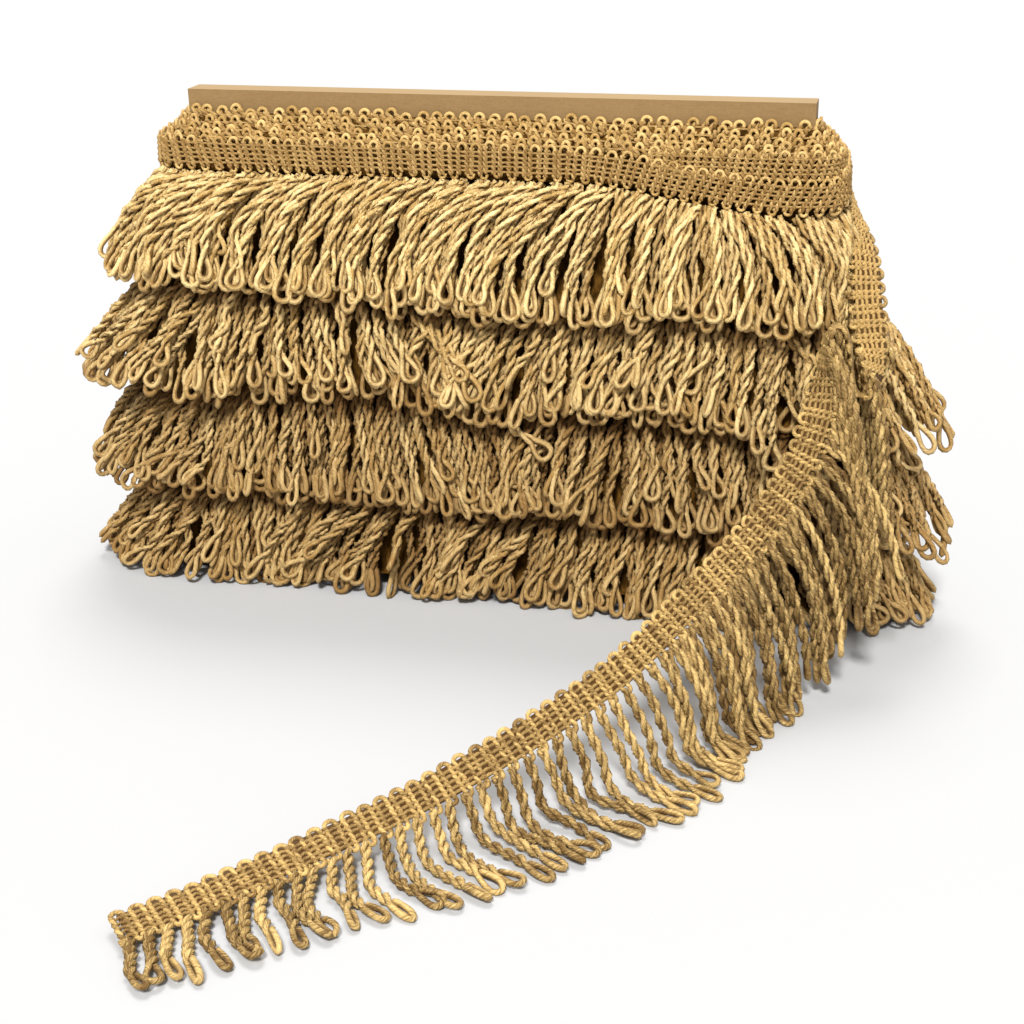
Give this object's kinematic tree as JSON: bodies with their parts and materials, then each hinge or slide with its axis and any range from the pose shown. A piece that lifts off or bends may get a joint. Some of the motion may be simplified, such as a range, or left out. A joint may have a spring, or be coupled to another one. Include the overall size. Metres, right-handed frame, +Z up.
{
  "type": "looped cord fringe trim wound on a board",
  "caption": "Twisted cord loop fringe with a scalloped woven heading, wound in stacked tiers round a flat standing board, one end looping off the side and running out over the floor.",
  "frame": {"origin": "middle of the board's foot, on the floor it stands on", "axes": "X along the board's length, Y through its thickness with the loose end towards -Y, Z up"},
  "size_m": [0.4645, 0.4247, 0.2577],
  "materials": {
    "kraft_board": "plain brown card board, matt",
    "gold_yarn": "woven heading of satin twisted yarn, antique gold",
    "gold_fringe": "looped cords of satin twisted yarn, antique gold"
  },
  "bodies": {
    "root": {"board": "kraft_board", "wound_trim": "gold_yarn", "fringe_tier_1": "gold_fringe", "fringe_tier_2": "gold_fringe", "fringe_tier_3": "gold_fringe", "fringe_tier_4": "gold_fringe", "tail_heading": "gold_yarn", "tail_fringe": "gold_fringe"}
  },
  "joints": []
}
